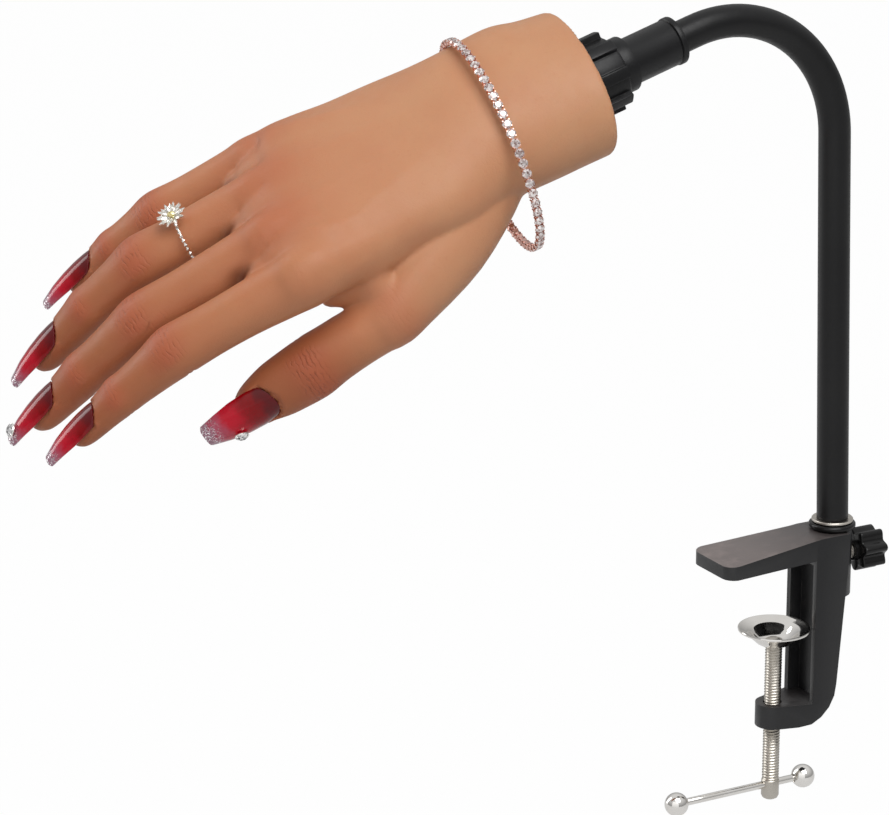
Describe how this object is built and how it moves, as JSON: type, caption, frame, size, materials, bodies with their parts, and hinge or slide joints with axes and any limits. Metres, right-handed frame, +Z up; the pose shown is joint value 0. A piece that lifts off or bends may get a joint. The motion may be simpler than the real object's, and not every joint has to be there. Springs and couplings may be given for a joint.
{
  "type": "nail practice hand",
  "caption": "Posable soft right hand for nail practice, with press-on nails, on a bendable arm that stands in a screw table clamp.",
  "frame": {"origin": "on the flat underside of the clamp's upper jaw, right above the clamp screw's axis", "axes": "+Z up, against the table; -X from the post towards the jaw's tip and the hand's finger tips; -Y towards the thumb's side"},
  "size_m": [0.2901, 0.1147, 0.2737],
  "materials": {
    "clamp_paint": "satin black paint",
    "black_plastic": "satin black moulded plastic",
    "arm_sleeve": "matt black sleeve",
    "screw_steel": "zinc-plated steel",
    "bright_metal": "bright chrome",
    "pad_brass": "turned brass",
    "silicone": "soft matt silicone in a tan skin tone",
    "armature_steel": "plain steel, hidden in the silicone",
    "nail_gel": "high gloss translucent red, darker at the cuticle, glitter at the tip",
    "rose_gold": "polished rose-gold plating with clear stones",
    "silver": "polished silver plating",
    "clear_stone": "clear cut stone"
  },
  "bodies": {
    "clamp": {"clamp_frame": "clamp_paint"},
    "cup": {"pressure_cup": "bright_metal"},
    "screw": {"clamp_screw": "screw_steel"},
    "bar": {"t_bar": "bright_metal", "t_bar_ball_left": "bright_metal", "t_bar_ball_right": "bright_metal"},
    "lock_tip": {"lock_pad": "pad_brass"},
    "lock": {"lock_screw": "screw_steel", "lock_knob": "black_plastic"},
    "post": {"post_foot": "black_plastic", "foot_washer": "screw_steel", "arm_link_1": "arm_sleeve"},
    "arm_2": {"arm_link_2": "arm_sleeve"},
    "arm_3": {"arm_link_3": "arm_sleeve"},
    "arm_4": {"arm_link_4": "arm_sleeve"},
    "arm_5": {"arm_link_5": "arm_sleeve"},
    "arm_6": {"arm_link_6": "arm_sleeve", "barrel": "black_plastic"},
    "collar": {"collar_nut": "black_plastic"},
    "palm": {"wrist_insert": "black_plastic", "palm_armature": "armature_steel", "palm_skin": "silicone"},
    "bracelet": {"bracelet": "rose_gold"},
    "index_proximal": {"index_proximal_skin": "silicone", "index_proximal_bone": "armature_steel"},
    "index_middle": {"index_middle_skin": "silicone", "index_middle_bone": "armature_steel"},
    "index_distal": {"index_distal_skin": "silicone", "index_distal_bone": "armature_steel", "index_nail": "nail_gel"},
    "middle_proximal": {"middle_proximal_skin": "silicone", "middle_proximal_bone": "armature_steel"},
    "middle_middle": {"middle_middle_skin": "silicone", "middle_middle_bone": "armature_steel"},
    "middle_distal": {"middle_distal_skin": "silicone", "middle_distal_bone": "armature_steel", "middle_nail": "nail_gel", "middle_rhinestone": "clear_stone"},
    "ring_proximal": {"ring_proximal_skin": "silicone", "ring_proximal_bone": "armature_steel"},
    "ring_middle": {"ring_middle_skin": "silicone", "ring_middle_bone": "armature_steel"},
    "ring_distal": {"ring_distal_skin": "silicone", "ring_distal_bone": "armature_steel", "ring_nail": "nail_gel"},
    "ring": {"ring_band": "silver", "ring_head": "clear_stone"},
    "little_proximal": {"little_proximal_skin": "silicone", "little_proximal_bone": "armature_steel"},
    "little_middle": {"little_middle_skin": "silicone", "little_middle_bone": "armature_steel"},
    "little_distal": {"little_distal_skin": "silicone", "little_distal_bone": "armature_steel", "little_nail": "nail_gel"},
    "thumb_proximal": {"thumb_proximal_skin": "silicone", "thumb_proximal_bone": "armature_steel"},
    "thumb_distal": {"thumb_distal_skin": "silicone", "thumb_distal_bone": "armature_steel", "thumb_nail": "nail_gel", "thumb_rhinestone": "clear_stone"}
  },
  "joints": [
    {"name": "clamp_travel", "type": "slide", "parent": "clamp", "child": "cup", "axis": [0, 0, 1], "range_m": [-0.0196, 0.0171]},
    {"name": "clamp_turn", "type": "hinge", "parent": "cup", "child": "screw", "pos_m": [0, 0, -0.024], "axis": [0, 0, 1], "range_deg": [-7020, 6120]},
    {"name": "bar_slide", "type": "slide", "parent": "screw", "child": "bar", "axis": [1, 0, 0], "range_m": [-0.006, 0.03]},
    {"name": "lock_travel", "type": "slide", "parent": "clamp", "child": "lock_tip", "axis": [1, 0, 0], "range_m": [0, 0.0016]},
    {"name": "lock_turn", "type": "hinge", "parent": "lock_tip", "child": "lock", "pos_m": [0.0263, 0, -0.0021], "axis": [1, 0, 0], "range_deg": [0, 722]},
    {"name": "post_swivel", "type": "hinge", "parent": "clamp", "child": "post", "pos_m": [0.02201, 0, 0.0075], "axis": [0, 0, 1], "continuous": true},
    {"name": "arm_bend_1", "type": "hinge", "parent": "post", "child": "arm_2", "pos_m": [0.02095, 0, 0.04671], "axis": [0, 1, 0], "range_deg": [-25, 25]},
    {"name": "arm_bend_2", "type": "hinge", "parent": "arm_2", "child": "arm_3", "pos_m": [0.0199, 0, 0.08212], "axis": [0.9996, 0, 0.0297], "range_deg": [-30, 30]},
    {"name": "arm_bend_3", "type": "hinge", "parent": "arm_3", "child": "arm_4", "pos_m": [0.01885, 0, 0.11753], "axis": [0, 1, 0], "range_deg": [-25, 25]},
    {"name": "arm_bend_4", "type": "hinge", "parent": "arm_4", "child": "arm_5", "pos_m": [0.01356, 0, 0.16025], "axis": [0, 1, 0], "range_deg": [-20, 30]},
    {"name": "arm_bend_5", "type": "hinge", "parent": "arm_5", "child": "arm_6", "pos_m": [-0.01479, 0, 0.1822], "axis": [0.2162, 0, 0.9764], "range_deg": [-30, 30]},
    {"name": "collar_turn", "type": "hinge", "parent": "arm_6", "child": "collar", "pos_m": [-0.06589, 0, 0.17227], "axis": [-0.9563, 0, -0.2924], "range_deg": [0, 150]},
    {"name": "hand_roll", "type": "hinge", "parent": "arm_6", "child": "palm", "pos_m": [-0.07775, 0, 0.16864], "axis": [-0.9563, 0, -0.2924], "continuous": true},
    {"name": "bracelet_slide", "type": "slide", "parent": "palm", "child": "bracelet", "axis": [-0.9431, 0.1045, -0.3157], "range_m": [-0.025, 0.003]},
    {"name": "index_proximal_bend", "type": "hinge", "parent": "palm", "child": "index_proximal", "pos_m": [-0.17719, -0.01183, 0.12436], "axis": [-0.158, -0.8811, -0.4458], "range_deg": [-18, 16]},
    {"name": "index_middle_bend", "type": "hinge", "parent": "index_proximal", "child": "index_middle", "pos_m": [-0.21356, 0.00654, 0.10093], "axis": [-0.158, -0.8811, -0.4458], "range_deg": [-18, 45]},
    {"name": "index_distal_bend", "type": "hinge", "parent": "index_middle", "child": "index_distal", "pos_m": [-0.22677, 0.01665, 0.08564], "axis": [-0.158, -0.8811, -0.4458], "range_deg": [-12, 45]},
    {"name": "middle_proximal_bend", "type": "hinge", "parent": "palm", "child": "middle_proximal", "pos_m": [-0.17883, 0.005, 0.13143], "axis": [-0.1855, -0.8722, -0.4525], "range_deg": [-18, 36]},
    {"name": "middle_middle_bend", "type": "hinge", "parent": "middle_proximal", "child": "middle_middle", "pos_m": [-0.21505, 0.02594, 0.10592], "axis": [-0.1855, -0.8722, -0.4525], "range_deg": [-18, 60]},
    {"name": "middle_distal_bend", "type": "hinge", "parent": "middle_middle", "child": "middle_distal", "pos_m": [-0.22956, 0.03845, 0.08776], "axis": [-0.1855, -0.8722, -0.4525], "range_deg": [-12, 45]},
    {"name": "ring_proximal_bend", "type": "hinge", "parent": "palm", "child": "ring_proximal", "pos_m": [-0.1744, 0.02327, 0.13993], "axis": [-0.1693, -0.8775, -0.4486], "range_deg": [-18, 44]},
    {"name": "ring_middle_bend", "type": "hinge", "parent": "ring_proximal", "child": "ring_middle", "pos_m": [-0.2086, 0.03991, 0.12029], "axis": [-0.1693, -0.8775, -0.4486], "range_deg": [-15, 60]},
    {"name": "ring_distal_bend", "type": "hinge", "parent": "ring_middle", "child": "ring_distal", "pos_m": [-0.22208, 0.05061, 0.10444], "axis": [-0.1693, -0.8775, -0.4486], "range_deg": [-12, 45]},
    {"name": "ring_turn", "type": "hinge", "parent": "ring_proximal", "child": "ring", "pos_m": [-0.19629, 0.03392, 0.12736], "axis": [-0.7989, 0.3888, -0.4589], "range_deg": [-45, 45]},
    {"name": "little_proximal_bend", "type": "hinge", "parent": "palm", "child": "little_proximal", "pos_m": [-0.16755, 0.04094, 0.14643], "axis": [-0.2496, -0.8485, -0.4667], "range_deg": [-18, 44]},
    {"name": "little_middle_bend", "type": "hinge", "parent": "little_proximal", "child": "little_middle", "pos_m": [-0.19429, 0.05856, 0.12871], "axis": [-0.2496, -0.8485, -0.4667], "range_deg": [-15, 60]},
    {"name": "little_distal_bend", "type": "hinge", "parent": "little_middle", "child": "little_distal", "pos_m": [-0.20512, 0.06828, 0.11682], "axis": [-0.2496, -0.8485, -0.4667], "range_deg": [-12, 45]},
    {"name": "thumb_proximal_bend", "type": "hinge", "parent": "palm", "child": "thumb_proximal", "pos_m": [-0.14917, -0.01317, 0.11042], "axis": [-0.5765, 0.0573, 0.8151], "range_deg": [-38, 18]},
    {"name": "thumb_distal_bend", "type": "hinge", "parent": "thumb_proximal", "child": "thumb_distal", "pos_m": [-0.173, -0.00447, 0.09296], "axis": [-0.5765, 0.0573, 0.8151], "range_deg": [-50, 18]}
  ],
  "couplings": [
    {"joint": "clamp_travel", "follows": "clamp_turn", "m_per_rad": 0.00015915},
    {"joint": "lock_turn", "follows": "lock_travel", "rad_per_m": 7854}
  ]
}
